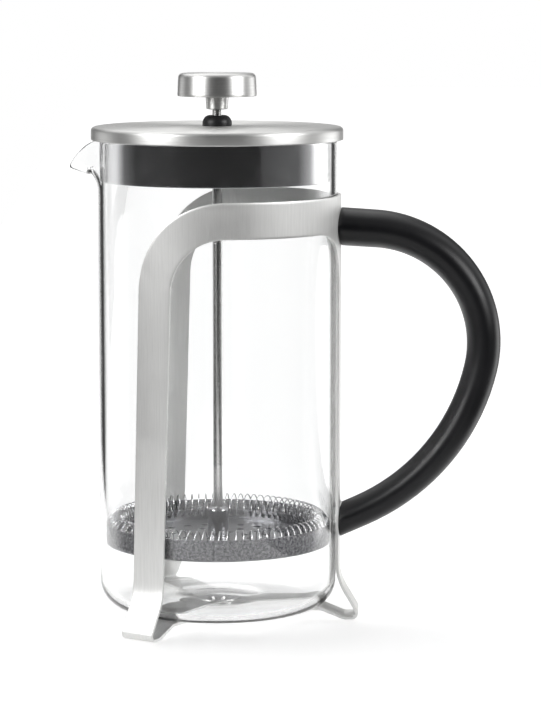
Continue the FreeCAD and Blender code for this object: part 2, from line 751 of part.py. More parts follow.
def make_nut():
    body = body_of("cross_nut")
    sketch = new_sketch(body, "nut_outline", "XY_Plane", "mesh_bottom - cross_thick - nut_thick")
    corner = "nut_across_flats / 2 / cos(30)"
    draw_outline(sketch, [("%s * cos(%d)" % (corner, turn), "%s * sin(%d)" % (corner, turn))
                          for turn in range(0, 360, 60)])
    draw_circle(sketch, "0", "0", "rod_radius")
    pad = body.newObject("PartDesign::Pad", "nut_pad")
    pad.Profile = sketch
    bind(pad, "Length", "nut_thick")


# ---- build, check and write ---------------------------------------------------

NODES = ["stand_strip", "base_disc", "base_washer", "base_rivet", "handle", "handle_screws",
         "handle_inserts", "beaker", "lid_cap", "lid_collar", "lid_bush", "bush_ring", "knob_cap",
         "knob_base", "plunger_rod", "hub_sleeve", "spiral_plate", "filter_spring",
         "mesh_screen", "cross_plate", "cross_nut"]

for make in (make_beaker, make_stand, make_base_fixing, make_handle, make_handle_fixings, make_lid,
             make_bush, make_knob, make_rod, make_hub, make_spiral_plate, make_spring, make_mesh,
             make_cross_plate, make_nut):
    make()
doc.recompute()

for item in doc.Objects:
    if "Invalid" in item.State or "Error" in item.State:
        raise RuntimeError("%s did not build: %s" % (item.Name, item.State))

os.makedirs("parts", exist_ok=True)
for name in NODES:
    shape = doc.getObjectsByLabel(name)[0].Shape
    if shape.isNull() or not shape.isValid() or not shape.Solids:
        raise RuntimeError("%s has no valid solid" % name)
    shape.exportStep("parts/%s.step" % name)
    print("%-16s %2d solid(s) %10.1f mm3" % (name, len(shape.Solids), shape.Volume))
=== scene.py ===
import math
import random

import bmesh
import bpy
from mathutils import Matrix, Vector


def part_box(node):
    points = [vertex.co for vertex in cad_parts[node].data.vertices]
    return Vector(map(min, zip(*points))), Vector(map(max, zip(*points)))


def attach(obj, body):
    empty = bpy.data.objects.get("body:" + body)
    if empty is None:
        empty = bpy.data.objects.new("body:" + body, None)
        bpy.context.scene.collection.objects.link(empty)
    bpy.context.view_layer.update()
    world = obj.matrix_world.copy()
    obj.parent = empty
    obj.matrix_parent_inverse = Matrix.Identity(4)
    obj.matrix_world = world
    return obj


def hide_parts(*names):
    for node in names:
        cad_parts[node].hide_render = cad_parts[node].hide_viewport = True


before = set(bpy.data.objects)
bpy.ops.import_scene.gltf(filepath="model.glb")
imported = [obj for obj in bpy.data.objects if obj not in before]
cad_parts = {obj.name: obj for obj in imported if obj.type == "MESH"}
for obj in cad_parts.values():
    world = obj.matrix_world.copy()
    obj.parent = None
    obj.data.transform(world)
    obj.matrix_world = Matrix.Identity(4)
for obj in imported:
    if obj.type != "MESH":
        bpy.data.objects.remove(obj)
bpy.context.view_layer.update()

# ---- Stand strip ------------------------------------------------------------
# One blank of satin stainless sheet, brushed up and down, cut as a hoop with three
# legs and rolled to the beaker's curve. Each leg is kicked out, folded under to a
# pad on the table and run back under the glass, where the three meet.

MM = 0.001
strip_thick = 1.2 * MM
strip_wide = 14.2 * MM
strip_outer = 49.7 * MM
strip_middle = strip_outer - strip_thick / 2
hoop_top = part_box("stand_strip")[1][2]
hoop_middle = hoop_top - strip_wide / 2
corner_bend = 29.1 * MM
corner_start = 71.6 * MM
leg_lean = math.radians(1.8)
kick_height = 22.5 * MM
root_fillet = 20 * MM
glass_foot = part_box("beaker")[0][2]
# how many pieces the sheet is divided into
across_pieces, root_pieces, hoop_pieces, corner_pieces, leg_pieces = 14, 14, 18, 28, 40
straight_piece = 2.5 * MM
weld_reach = 0.02 * MM


def walk(x, z, heading, moves, bend_step=6):
    """Stations (x, z, heading, run) along straights and bends; a positive turn is to the left."""
    run = 0
    stations = [(x, z, heading, run)]
    for move in moves:
        if move[0] == "straight":
            length = move[1]
            pieces = max(1, round(length / straight_piece))
            for piece in range(1, pieces + 1):
                reach = length * piece / pieces
                stations.append((x + reach * math.cos(heading), z + reach * math.sin(heading),
                                 heading, run + reach))
        else:
            bend, turn = move[1], math.radians(move[2])
            side = math.copysign(1, turn)
            centre_x = x - side * bend * math.sin(heading)
            centre_z = z + side * bend * math.cos(heading)
            pieces = max(2, round(abs(math.degrees(turn)) / bend_step))
            for piece in range(1, pieces + 1):
                now = heading + turn * piece / pieces
                stations.append((centre_x + side * bend * math.sin(now),
                                 centre_z - side * bend * math.cos(now),
                                 now, run + bend * abs(turn) * piece / pieces))
        x, z, heading, run = stations[-1]
    return stations


def foot_stations():
    """One leg's middle line below the kick, in the plane through the leg and the axis."""
    kick, sole = 30, 22
    kick_bend, fold_bend, knee_bend = 23 * MM, 2.1 * MM, 4 * MM
    pad = 2.4 * MM
    drop = (kick_height - (kick_bend + fold_bend) * math.sin(math.radians(kick))
            - fold_bend - strip_thick / 2)
    lift = knee_bend * (1 - math.cos(math.radians(sole)))
    rise = glass_foot - strip_thick - 2 * lift
    moves = [("bend", kick_bend, kick), ("straight", drop / math.cos(math.radians(kick))),
             ("bend", fold_bend, -90 - kick), ("straight", pad), ("bend", knee_bend, -sole),
             ("straight", rise / math.sin(math.radians(sole))), ("bend", knee_bend, sole)]
    stations = walk(strip_middle, kick_height, math.radians(-90), moves)
    return stations + walk(*stations[-1][:2], math.radians(180), [("straight", stations[-1][0])])[1:]


def on_strip(around, height, out=0.0):
    """A point on the strip's middle, with around measured on its outer face from the handle."""
    angle = around / strip_outer
    reach = strip_middle + out
    return Vector((reach * math.cos(angle), reach * math.sin(angle), height))


fixing_heights = (159.7 * MM, 41.2 * MM)


def dimple(around, height):
    """How far the strip is pressed outwards round a handle screw."""
    reach, rise, shoulder = 6.4 * MM, 2.2 * MM, 1.8 * MM
    near = min(math.hypot(around, height - spot) for spot in fixing_heights)
    share = min(1, max(0, (reach - near) / shoulder))
    return rise * share * share * (3 - 2 * share)


def sheet_row(side, spots):
    """A row of the rolled blank and its grain: the sheet was brushed up and down before cutting."""
    row = [on_strip(side * around, height, dimple(around, height)) for around, height in spots]
    grain = [(side * around / MM, height / MM) for around, height in spots]
    return row, grain


def ribbon_rows(side):
    """Rows across the strip from the hoop's middle to one front or rear foot."""
    half = strip_wide / 2
    wide_steps = [half * (2 * step / across_pieces - 1) for step in range(across_pieces + 1)]
    rows = []
    root = half + root_fillet
    arounds = [root * step / root_pieces for step in range(root_pieces + 1)]
    arounds += [root + (corner_start - root) * step / hoop_pieces
                for step in range(1, hoop_pieces + 1)]
    for around in arounds:
        rows.append(sheet_row(side, [(around, hoop_middle + cross) for cross in wide_steps]))
    pivot = hoop_middle - corner_bend
    turn = math.pi / 2 - leg_lean
    for step in range(1, corner_pieces + 1):
        angle = math.pi / 2 - turn * step / corner_pieces
        rows.append(sheet_row(side, [(corner_start + (corner_bend + cross) * math.cos(angle),
                                      pivot + (corner_bend + cross) * math.sin(angle))
                                     for cross in wide_steps]))
    top_around = corner_start + corner_bend * math.cos(leg_lean)
    top_height = pivot + corner_bend * math.sin(leg_lean)
    drop = top_height - kick_height
    for step in range(1, leg_pieces + 1):
        fall = drop * step / leg_pieces
        level = math.sin(leg_lean) * (1 - step / leg_pieces)
        rows.append(sheet_row(side, [(top_around + cross + fall * math.tan(leg_lean),
                                      top_height - fall + cross * level) for cross in wide_steps]))
    foot_around = top_around + drop * math.tan(leg_lean)
    return rows + foot_rows(side * foot_around / strip_outer, side, wide_steps)


def foot_rows(angle, side, wide_steps):
    """The foot's rows; its rolled section flattens over the kick, and its end is mitred."""
    outward = Vector((math.cos(angle), math.sin(angle), 0))
    sideways = Vector((-math.sin(angle), math.cos(angle), 0)) * side
    flatten_over = 14 * MM
    half_between_feet = math.radians(60)
    rows = []
    for x, z, _, along in foot_stations()[1:]:
        curl = max(0, 1 - along / flatten_over)
        row = []
        for cross in wide_steps:
            dish = strip_middle * (math.cos(cross / strip_middle) - 1) * curl
            mitre = abs(cross) / math.tan(half_between_feet)
            row.append(outward * max(x + dish, mitre) + sideways * cross + Vector((0, 0, z)))
        grain = [(side * (angle * side * strip_outer + cross) / MM, (kick_height - along) / MM)
                 for cross in wide_steps]
        rows.append((row, grain))
    return rows


def handle_leg_rows():
    """The third leg, which flares out of the hoop's lower edge in two fillets."""
    half = strip_wide / 2
    under = hoop_top - strip_wide
    columns_across, fillet_rows, leg_rows = 28, 40, 110
    columns = [2 * step / columns_across - 1 for step in range(columns_across + 1)]
    rows = []
    for step in range(fillet_rows + 1):
        height = under - root_fillet * step / fillet_rows
        inner = height - (under - root_fillet)
        reach = half + root_fillet - math.sqrt(max(0, root_fillet ** 2 - inner ** 2))
        rows.append(sheet_row(1, [(column * reach, height) for column in columns]))
    start = under - root_fillet
    for step in range(1, leg_rows + 1):
        height = start - (start - kick_height) * step / leg_rows
        rows.append(sheet_row(1, [(column * half, height) for column in columns]))
    return rows + foot_rows(0, 1, [column * half for column in columns])


def add_rows(sheet, rows):
    """Quads between rows of points, with the grain's places in millimetres as the UV map."""
    grain_map = sheet.loops.layers.uv.verify()
    lines = [([sheet.verts.new(spot) for spot in row], grain) for row, grain in rows]
    for (upper, upper_grain), (lower, lower_grain) in zip(lines, lines[1:]):
        for column in range(len(upper) - 1):
            face = sheet.faces.new((upper[column], upper[column + 1], lower[column + 1],
                                    lower[column]))
            places = (upper_grain[column], upper_grain[column + 1], lower_grain[column + 1],
                      lower_grain[column])
            for loop, place in zip(face.loops, places):
                loop[grain_map].uv = place


def finish_mesh(name, sheet, sharp=40):
    """Turns a bmesh into a smooth-shaded object with the faces pointing out."""
    bmesh.ops.recalc_face_normals(sheet, faces=sheet.faces)
    mesh = bpy.data.meshes.new(name)
    sheet.to_mesh(mesh)
    sheet.free()
    mesh.uv_layers[0].name = "grain"
    mesh.shade_smooth()
    mesh.set_sharp_from_angle(angle=math.radians(sharp))
    piece = bpy.data.objects.new(name, mesh)
    bpy.context.scene.collection.objects.link(piece)
    return piece


strip_sheet = bmesh.new()
for strip_side in (1, -1):
    add_rows(strip_sheet, ribbon_rows(strip_side))
add_rows(strip_sheet, handle_leg_rows())
bmesh.ops.remove_doubles(strip_sheet, verts=strip_sheet.verts, dist=weld_reach)
stand_strip = finish_mesh("stand_strip_brushed", strip_sheet)
strip_skin = stand_strip.modifiers.new("gauge", "SOLIDIFY")
strip_skin.thickness = strip_thick
strip_skin.offset = 0
strip_skin.use_even_offset = True
strip_edge = stand_strip.modifiers.new("deburred_edge", "BEVEL")
strip_edge.width = 0.22 * MM
strip_edge.segments = 2
strip_edge.limit_method = "ANGLE"
strip_edge.angle_limit = math.radians(50)


def new_group(name, inputs, outputs):
    """An empty shader group with its named sockets, its input node and its output node."""
    group = bpy.data.node_groups.new(name, "ShaderNodeTree")
    for label, kind, default in inputs:
        socket = group.interface.new_socket(label, in_out="INPUT", socket_type=kind)
        if default is not None:
            socket.default_value = default
    for label, kind in outputs:
        group.interface.new_socket(label, in_out="OUTPUT", socket_type=kind)
    return group, group.nodes.new("NodeGroupInput"), group.nodes.new("NodeGroupOutput")


def add_node(tree, kind, **settings):
    """A node with its properties set, and its inputs set where a setting names one."""
    node = tree.nodes.new(kind)
    for label, setting in settings.items():
        if hasattr(node, label):
            setattr(node, label, setting)
        else:
            node.inputs[label.replace("_", " ")].default_value = setting
    return node


def reckon(tree, operation, first, second):
    """A maths node on two sockets or numbers."""
    node = add_node(tree, "ShaderNodeMath", operation=operation)
    for place, source in enumerate((first, second)):
        if isinstance(source, (int, float)):
            node.inputs[place].default_value = source
        else:
            tree.links.new(source, node.inputs[place])
    return node.outputs[0]


def make_brush_marks():
    """Long fine scratches along the grain, over slower bands of tone."""
    group, source, result = new_group(
        "brush_marks",
        [("Grain", "NodeSocketVector", None), ("Fineness", "NodeSocketFloat", 6.0),
         ("Length", "NodeSocketFloat", 30.0)],
        [("Scratch", "NodeSocketFloat"), ("Band", "NodeSocketFloat")])
    split = add_node(group, "ShaderNodeSeparateXYZ")
    group.links.new(source.outputs["Grain"], split.inputs[0])
    outputs = []
    # the scratches, then the bands: how fine and how long next to the scratches, and how detailed
    for fine, long, detail in ((1.0, 1.0, 4.0), (0.16, 0.5, 2.0)):
        across = reckon(group, "MULTIPLY", split.outputs[0],
                        reckon(group, "MULTIPLY", source.outputs["Fineness"], fine))
        along = reckon(group, "DIVIDE", split.outputs[1],
                       reckon(group, "MULTIPLY", source.outputs["Length"], long))
        joined = add_node(group, "ShaderNodeCombineXYZ")
        group.links.new(across, joined.inputs[0])
        group.links.new(along, joined.inputs[1])
        noise = add_node(group, "ShaderNodeTexNoise", Scale=1.0, Detail=detail, Roughness=0.65)
        group.links.new(joined.outputs[0], noise.inputs["Vector"])
        outputs.append(noise.outputs["Fac"])
    group.links.new(outputs[0], result.inputs["Scratch"])
    group.links.new(outputs[1], result.inputs["Band"])
    return group


def make_handling_marks():
    """Faint smears and finger marks: a slow mask that only dulls the gloss a little."""
    group, source, result = new_group(
        "handling_marks", [("Size", "NodeSocketFloat", 40.0)], [("Smear", "NodeSocketFloat")])
    place = add_node(group, "ShaderNodeTexCoord")
    noise = add_node(group, "ShaderNodeTexNoise", Detail=5.0, Roughness=0.6, Distortion=0.8)
    group.links.new(place.outputs["Object"], noise.inputs["Vector"])
    group.links.new(source.outputs["Size"], noise.inputs["Scale"])
    ramp = add_node(group, "ShaderNodeMapRange", interpolation_type="SMOOTHSTEP",
                    From_Min=0.42, From_Max=0.72)
    group.links.new(noise.outputs["Fac"], ramp.inputs["Value"])
    group.links.new(ramp.outputs["Result"], result.inputs["Smear"])
    return group


brush_marks = make_brush_marks()
handling_marks = make_handling_marks()


def add_group(tree, group, **settings):
    """A shared effect placed in a material with its own values."""
    node = tree.nodes.new("ShaderNodeGroup")
    node.node_tree = group
    for label, setting in settings.items():
        node.inputs[label].default_value = setting
    return node


def new_material(name, **settings):
    """A material whose Principled shader has its plain sockets set; words use _ for spaces."""
    material = bpy.data.materials.new(name)
    material.use_nodes = True
    tree = material.node_tree
    shader = tree.nodes["Principled BSDF"]
    for label, setting in settings.items():
        shader.inputs[label.replace("_", " ")].default_value = setting
    return material, tree, shader


def blend_colours(tree, factor, dark, light):
    """The colour between dark and light at a factor from 0 to 1."""
    mix = add_node(tree, "ShaderNodeMix", data_type="RGBA")
    mix.inputs["A"].default_value = (*dark, 1)
    mix.inputs["B"].default_value = (*light, 1)
    tree.links.new(factor, mix.inputs["Factor"])
    return mix.outputs["Result"]


def spread(tree, factor, low, high):
    """The factor from 0 to 1 spread between two numbers."""
    node = add_node(tree, "ShaderNodeMapRange", To_Min=low, To_Max=high)
    tree.links.new(factor, node.inputs["Value"])
    return node.outputs["Result"]


def add_bump(tree, shader, height, strength, distance):
    """Fine relief on a material from a height that changes over the surface."""
    bump = add_node(tree, "ShaderNodeBump", Strength=strength, Distance=distance)
    tree.links.new(height, bump.inputs["Height"])
    tree.links.new(bump.outputs["Normal"], shader.inputs["Normal"])


def brushed_steel(name, dark, light, rough_low, rough_high, fineness, length, stretch):
    """Satin steel: scratches set tone, gloss and relief, and the highlight spreads across them."""
    material, tree, shader = new_material(name, Metallic=1.0, Anisotropic=stretch)
    place = add_node(tree, "ShaderNodeUVMap", uv_map="grain")
    marks = add_group(tree, brush_marks, Fineness=fineness, Length=length)
    tree.links.new(place.outputs["UV"], marks.inputs["Grain"])
    smear = add_group(tree, handling_marks, Size=38.0)
    scratch_share, band_share = 0.6, 0.4
    tone = reckon(tree, "ADD", reckon(tree, "MULTIPLY", marks.outputs["Scratch"], scratch_share),
                  reckon(tree, "MULTIPLY", marks.outputs["Band"], band_share))
    contrast = add_node(tree, "ShaderNodeMapRange", From_Min=0.3, From_Max=0.7)
    tree.links.new(tone, contrast.inputs["Value"])
    tree.links.new(blend_colours(tree, contrast.outputs["Result"], dark, light),
                   shader.inputs["Base Color"])
    gloss = spread(tree, contrast.outputs["Result"], rough_high, rough_low)
    smeared = reckon(tree, "ADD", gloss,
                     reckon(tree, "MULTIPLY", smear.outputs["Smear"], 0.05))
    tree.links.new(smeared, shader.inputs["Roughness"])
    add_bump(tree, shader, marks.outputs["Scratch"], 0.12, 0.02 * MM)
    across = add_node(tree, "ShaderNodeTangent", direction_type="UV_MAP", uv_map="grain")
    tree.links.new(across.outputs["Tangent"], shader.inputs["Tangent"])
    return material


def give(piece, material, body, slot_name, *nodes):
    """Sets a piece's material, the body that it rides on and the nodes it stands for; slot_name is not
    used.
    """
    piece.data.materials.append(material)
    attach(piece, body)
    if nodes:
        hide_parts(*nodes)


strip_steel = brushed_steel("steel_brushed_upright", (0.66, 0.66, 0.65), (0.80, 0.80, 0.79),
                            0.44, 0.56, 7.0, 34.0, 0.35)
give(stand_strip, strip_steel, "stand", "steel", "stand_strip")

# ---- Base disc, washer and rivet ----------------------------------------------
# Plain turned steel parts that clamp the three mitred feet together in the middle,
# under the hollow of the glass. The rivet is closed from below.


def polished_steel(name, dark, light, rough_low, rough_high):
    """Bright steel: mirror gloss with faint lathe rings about the axis and soft smears."""
    material, tree, shader = new_material(name, Metallic=1.0)
    place = add_node(tree, "ShaderNodeTexCoord")
    split = add_node(tree, "ShaderNodeSeparateXYZ")
    tree.links.new(place.outputs["Object"], split.inputs[0])
    reach = reckon(tree, "SQRT", reckon(tree, "ADD", reckon(tree, "POWER", split.outputs[0], 2.0),
                                        reckon(tree, "POWER", split.outputs[1], 2.0)), 0.0)
    rings = add_node(tree, "ShaderNodeCombineXYZ")
    tree.links.new(reach, rings.inputs[0])
    tree.links.new(split.outputs[2], rings.inputs[1])
    noise = add_node(tree, "ShaderNodeTexNoise", Scale=2600.0, Detail=2.0)
    tree.links.new(rings.outputs[0], noise.inputs["Vector"])
    smear = add_group(tree, handling_marks, Size=70.0)
    tree.links.new(blend_colours(tree, noise.outputs["Fac"], dark, light), shader.inputs["Base Color"])
    gloss = reckon(tree, "ADD", spread(tree, noise.outputs["Fac"], rough_low, rough_high),
                   reckon(tree, "MULTIPLY", smear.outputs["Smear"], 0.05))
    tree.links.new(gloss, shader.inputs["Roughness"])
    add_bump(tree, shader, noise.outputs["Fac"], 0.05, 0.01 * MM)
    return material


turned_steel = polished_steel("steel_turned", (0.56, 0.56, 0.56), (0.68, 0.68, 0.67), 0.16, 0.26)


def refinish(node, material):
    """Gives a CAD node that keeps its own shape a better material."""
    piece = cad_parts[node]
    if not piece.material_slots:
        piece.data.materials.append(material)
    for place in piece.material_slots:
        place.material = material


for base_node in ("base_disc", "base_washer", "base_rivet"):
    refinish(base_node, turned_steel)

# ---- Handle -------------------------------------------------------------------
# One solid moulding in satin black plastic, an oval bar bent into a loop that
# thins from the upper root to the lower one. Both ends are saddles on the strip.

saddle = 49.76 * MM
grip_start = 46 * MM
grip_fall = math.radians(-3.5)


def handle_stations():
    """The grip's middle line, from its upper root round to its lower one."""
    moves = [("straight", 18 * MM), ("bend", 46 * MM, -99), ("bend", 84.5 * MM, -53.4),
             ("straight", 12 * MM)]
    return walk(grip_start, fixing_heights[0], grip_fall, moves, bend_step=3)


def oval_ring(station, thick, wide, count=64):
    """Points round the handle; a fine moulding line runs down its middle."""
    x, z, heading, _ = station
    across = Vector((-math.sin(heading), 0, math.cos(heading)))
    line_rise, line_width = 0.07 * MM, 0.05
    ring = []
    for step in range(count):
        angle = 2 * math.pi * step / count
        seam = math.exp(-(math.cos(angle) / line_width) ** 2) * line_rise
        spot = Vector((x, 0, z)) + across * (math.sin(angle) * (thick / 2 + seam))
        ring.append(spot + Vector((0, math.cos(angle) * wide / 2, 0)))
    return ring


def to_saddle(spot, heading, reach):
    """Slides a point along the handle's end until it meets the strip's curve."""
    along = math.cos(heading)
    wanted = math.sqrt(reach ** 2 - spot.y ** 2)
    travel = (wanted - spot.x) / along
    return spot + Vector((along, 0, math.sin(heading))) * travel


def mix_sizes(share, first, middle, last):
    """Root, middle and end values joined by a smooth line."""
    if share < 0.5:
        part = share * 2
        return first + (middle - first) * part * part * (3 - 2 * part)
    part = share * 2 - 1
    return middle + (last - middle) * part * part * (3 - 2 * part)


def end_rings(ring, station):
    """Closes an end of the grip on the strip: a slightly smaller ring, then one just off it."""
    edge_share, edge_gap = 0.965, 0.5 * MM
    middle = sum(ring, Vector()) / len(ring)
    tight = [to_saddle(middle + (spot - middle) * edge_share, station[2], saddle) for spot in ring]
    soft = [to_saddle(spot, station[2], saddle + edge_gap) for spot in ring]
    return [(tight, station[3]), (soft, station[3])]


def build_handle():
    """The grip's oval rings, closed at both ends; the grain runs round it."""
    sheet = bmesh.new()
    grain = sheet.loops.layers.uv.verify()
    clear_of_strip = 1.2 * MM
    stations = [station for station in handle_stations() if station[0] > saddle + clear_of_strip]
    total = stations[-1][3] - stations[0][3]
    rings = []
    for station in stations:
        share = (station[3] - stations[0][3]) / total
        thick = mix_sizes(share, 15.2 * MM, 13.4 * MM, 12.6 * MM)
        wide = mix_sizes(share, 21 * MM, 19 * MM, 17 * MM)
        rings.append((oval_ring(station, thick, wide), station[3]))
    rings = (end_rings(rings[0][0], stations[0]) + rings
             + end_rings(rings[-1][0], stations[-1])[::-1])
    lines = [([sheet.verts.new(spot) for spot in ring], run) for ring, run in rings]
    count = len(lines[0][0])
    for (upper, start), (lower, finish) in zip(lines, lines[1:]):
        for column in range(count):
            after = (column + 1) % count
            face = sheet.faces.new((upper[column], upper[after], lower[after], lower[column]))
            places = ((column, start), (column + 1, start), (column + 1, finish), (column, finish))
            for loop, (across, along) in zip(face.loops, places):
                loop[grain].uv = (across, along / MM)
    sheet.faces.new(lines[0][0])
    sheet.faces.new(lines[-1][0])
    return finish_mesh("handle_moulding", sheet)


def moulded_plastic(name, dark, light, roughness, grain_size):
    """Satin moulded plastic: spark-eroded grain, a slight flow mottle and dulled patches."""
    material, tree, shader = new_material(name, Specular_IOR_Level=0.26)
    place = add_node(tree, "ShaderNodeTexCoord")
    fine = add_node(tree, "ShaderNodeTexNoise", Scale=grain_size, Detail=3.0)
    slow = add_node(tree, "ShaderNodeTexNoise", Scale=55.0, Detail=4.0, Distortion=0.6)
    for noise in (fine, slow):
        tree.links.new(place.outputs["Object"], noise.inputs["Vector"])
    smear = add_group(tree, handling_marks, Size=60.0)
    tree.links.new(blend_colours(tree, slow.outputs["Fac"], dark, light), shader.inputs["Base Color"])
    gloss = reckon(tree, "ADD", spread(tree, slow.outputs["Fac"], roughness - 0.05, roughness + 0.05),
                   reckon(tree, "MULTIPLY", smear.outputs["Smear"], -0.06))
    tree.links.new(gloss, shader.inputs["Roughness"])
    add_bump(tree, shader, fine.outputs["Fac"], 0.25, 0.05 * MM)
    return material


black_plastic = moulded_plastic("plastic_satin_black", (0.004, 0.004, 0.005), (0.008, 0.008, 0.009),
                                0.38, 2400.0)
give(build_handle(), black_plastic, "stand", "black_plastic", "handle")

# ---- Handle screws and inserts --------------------------------------------------
# Steel machine screws whose heads sit in the strip's two dimples, and knurled
# brass inserts moulded into the ends of the handle that they turn into.

refinish("handle_screws", turned_steel)
insert_brass = polished_steel("brass_turned", (0.55, 0.40, 0.18), (0.72, 0.55, 0.28), 0.22, 0.34)
refinish("handle_inserts", insert_brass)

# ---- Glass beaker ---------------------------------------------------------------
# Blown borosilicate glass of even wall with a fire-polished rim, a pushed-up
# bottom, and a spout pulled out and down from the rim while the glass was soft.

glass_low, glass_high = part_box("beaker")
glass_radius = glass_high[1]
glass_wall = 2.2 * MM
glass_base = 2.9 * MM
spout_reach = -glass_low[0] - glass_radius - 0.35 * MM
rim_height = glass_high[2]
spout_start = 174 * MM
spout_half_angle = math.radians(20)
punt_radius, punt_rise = 25 * MM, 2.5 * MM


def glass_profile():
    """Stations (radius, height, thickness) up the middle of the glass, from axis to rim."""
    middle = glass_radius - glass_wall / 2
    floor = glass_foot + glass_base / 2
    bend = 9.4 * MM
    flat_edge = 2 * MM
    punt_rows, bend_rows, wall_rows, spout_rows = 14, 16, 24, 30
    profile = []
    for step in range(1, punt_rows + 1):
        share = step / punt_rows
        rise = punt_rise * (1 + math.cos(math.pi * share)) / 2
        profile.append((punt_radius * share, floor + rise, glass_base))
    profile.append((middle - bend - flat_edge, floor, glass_base))
    for step in range(bend_rows + 1):
        angle = math.pi / 2 * step / bend_rows
        thick = glass_base + (glass_wall - glass_base) * step / bend_rows
        profile.append((middle - bend + bend * math.sin(angle),
                        floor + bend - bend * math.cos(angle), thick))
    foot = floor + bend
    for step in range(1, wall_rows + 1):
        profile.append((middle, foot + (spout_start - foot) * step / wall_rows, glass_wall))
    top = rim_height - glass_wall / 2
    for step in range(1, spout_rows + 1):
        profile.append((middle, spout_start + (top - spout_start) * step / spout_rows, glass_wall))
    return profile


def pulled(angle, radius, height):
    """Where the soft glass went when the spout was pulled."""
    off_axis = abs(math.remainder(angle - math.pi, 2 * math.pi)) / spout_half_angle
    up = (height - spout_start) / (rim_height - glass_wall / 2 - spout_start)
    if off_axis >= 1 or up <= 0:
        return Vector((radius * math.cos(angle), radius * math.sin(angle), height))
    pull = (1 - off_axis ** 2) ** 1.7
    neck, neck_share = 0.32, 0.2
    over = max(0, (up - neck) / (1 - neck))
    out = spout_reach * pull * (neck_share * min(1, up / neck) ** 2 + (1 - neck_share) * over)
    # the trough's floor runs out almost level instead of up the wall
    floor_rise = 3.0 * MM
    level = (rim_height - glass_wall / 2 - spout_start) * (up - neck) - floor_rise * over
    fall = max(0, level) * min(1, over * 4) * pull ** 2
    reach = radius + out
    return Vector((reach * math.cos(angle), reach * math.sin(angle), height - fall))


def build_glass():
    """The glass's two faces, half a wall either side of the middle, joined by a round rim."""
    profile = glass_profile()
    count = 200
    turns = [2 * math.pi * step / count for step in range(count)]
    # columns are closer together round the spout
    crowding = 0.55
    angles = [turn + crowding * math.sin(turn) for turn in turns]
    grid = [[pulled(angle, radius, height) for angle in angles] for radius, height, _ in profile]
    sheet = bmesh.new()
    layers = {1: [], -1: []}
    normals = []
    for row, (_, _, thick) in enumerate(profile):
        line = []
        for column in range(count):
            beside = grid[row][(column + 1) % count] - grid[row][column - 1]
            below = grid[max(0, row - 1)][column]
            above = grid[min(len(grid) - 1, row + 1)][column]
            line.append(beside.cross(above - below).normalized())
        normals.append(line)
        for side in (1, -1):
            layers[side].append([grid[row][column] + line[column] * (side * thick / 2)
                                 for column in range(count)])
    rim = []
    rim_pieces = 8
    for step in range(1, rim_pieces):
        turn = math.pi * step / rim_pieces
        ring = []
        for column in range(count):
            outward = normals[-1][column]
            upward = (grid[-1][column] - grid[-2][column]).normalized()
            ring.append(grid[-1][column]
                        + (outward * math.cos(turn) + upward * math.sin(turn)) * (glass_wall / 2))
        rim.append(ring)
    rows = layers[1] + rim + layers[-1][::-1]
    lines = [[sheet.verts.new(spot) for spot in ring] for ring in rows]
    grain = sheet.loops.layers.uv.verify()
    for number, (upper, lower) in enumerate(zip(lines, lines[1:])):
        for column in range(count):
            after = (column + 1) % count
            face = sheet.faces.new((upper[column], upper[after], lower[after], lower[column]))
            for loop, place in zip(face.loops, ((0, 0), (1, 0), (1, 1), (0, 1))):
                loop[grain].uv = ((column + place[0]) / count, number + place[1])
    for line, thick in ((lines[0], 1), (lines[-1], -1)):
        centre = sheet.verts.new(Vector((0, 0, glass_foot + glass_base / 2 + punt_rise
                                         - thick * glass_base / 2)))
        for column in range(count):
            sheet.faces.new((centre, line[column], line[(column + 1) % count]))
    return finish_mesh("beaker_glass", sheet, sharp=80)


def clear_glass(name):
    """Clear blown glass: faint draw lines and a breath of haze near the handled places."""
    material, tree, shader = new_material(name, Transmission_Weight=1.0, Metallic=0.0, IOR=1.47)
    place = add_node(tree, "ShaderNodeTexCoord")
    slow = add_node(tree, "ShaderNodeTexNoise", Scale=26.0, Detail=1.0)
    tree.links.new(place.outputs["Object"], slow.inputs["Vector"])
    smear = add_group(tree, handling_marks, Size=30.0)
    tree.links.new(blend_colours(tree, slow.outputs["Fac"], (0.985, 0.99, 0.99), (1.0, 1.0, 1.0)),
                   shader.inputs["Base Color"])
    tree.links.new(spread(tree, smear.outputs["Smear"], 0.0, 0.012), shader.inputs["Roughness"])
    add_bump(tree, shader, slow.outputs["Fac"], 0.04, 1.0 * MM)
    # light passes through the thin wall to what is behind it
    ray = add_node(tree, "ShaderNodeLightPath")
    passing = add_node(tree, "ShaderNodeBsdfTransparent")
    passing.inputs["Color"].default_value = (0.9, 0.9, 0.9, 1)
    either = add_node(tree, "ShaderNodeMixShader")
    tree.links.new(ray.outputs["Is Shadow Ray"], either.inputs[0])
    tree.links.new(shader.outputs[0], either.inputs[1])
    tree.links.new(passing.outputs[0], either.inputs[2])
    tree.links.new(either.outputs[0], tree.nodes["Material Output"].inputs["Surface"])
    return material


give(build_glass(), clear_glass("glass_clear_blown"), "glass", "glass", "beaker")

# ---- Lid cap --------------------------------------------------------------------
# A shallow cap drawn from satin steel sheet, brushed round and round on a lathe,
# with a rolled top edge and a hem that grips the collar's flange.


